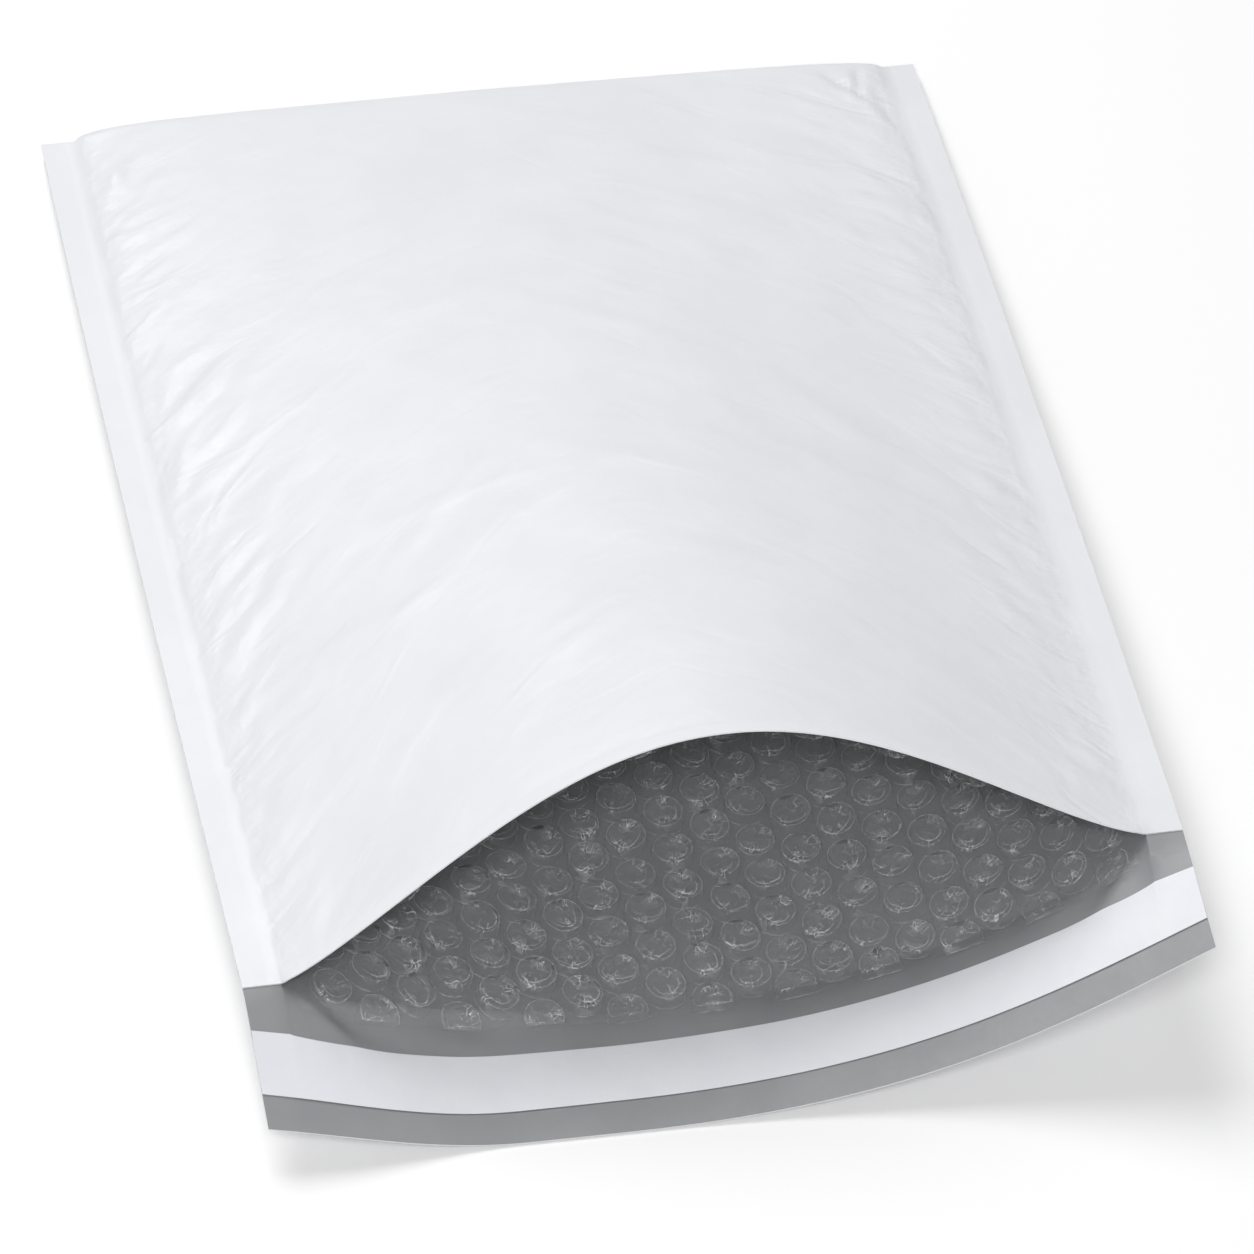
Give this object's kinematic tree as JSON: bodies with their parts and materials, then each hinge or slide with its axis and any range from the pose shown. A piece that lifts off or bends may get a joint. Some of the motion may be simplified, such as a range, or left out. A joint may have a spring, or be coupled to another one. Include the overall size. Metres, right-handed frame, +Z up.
{
  "type": "bubble mailer",
  "caption": "Padded mailing envelope of white film lined with clear bubble cushioning, lying open with its self-seal flap unfolded",
  "frame": {"origin": "centre of the bottom of the bounding box, on the surface that the mailer lies on", "axes": "X across the mailer, Y along it with the closed fold at +Y and the mouth and flap at -Y, Z up"},
  "size_m": [0.24, 0.3572, 0.0703],
  "materials": {
    "white_film": "satin co-extruded film, white outside and grey inside",
    "clear_bubbles": "clear, thin, finely wrinkled bubbles",
    "clear_adhesive": "glossy pressure-sensitive adhesive",
    "release_paper": "smooth silicone-coated white paper"
  },
  "bodies": {
    "root": {"outer_film": "white_film", "bubble_liner": "clear_bubbles", "adhesive_strip": "clear_adhesive", "release_liner": "release_paper"}
  },
  "joints": []
}
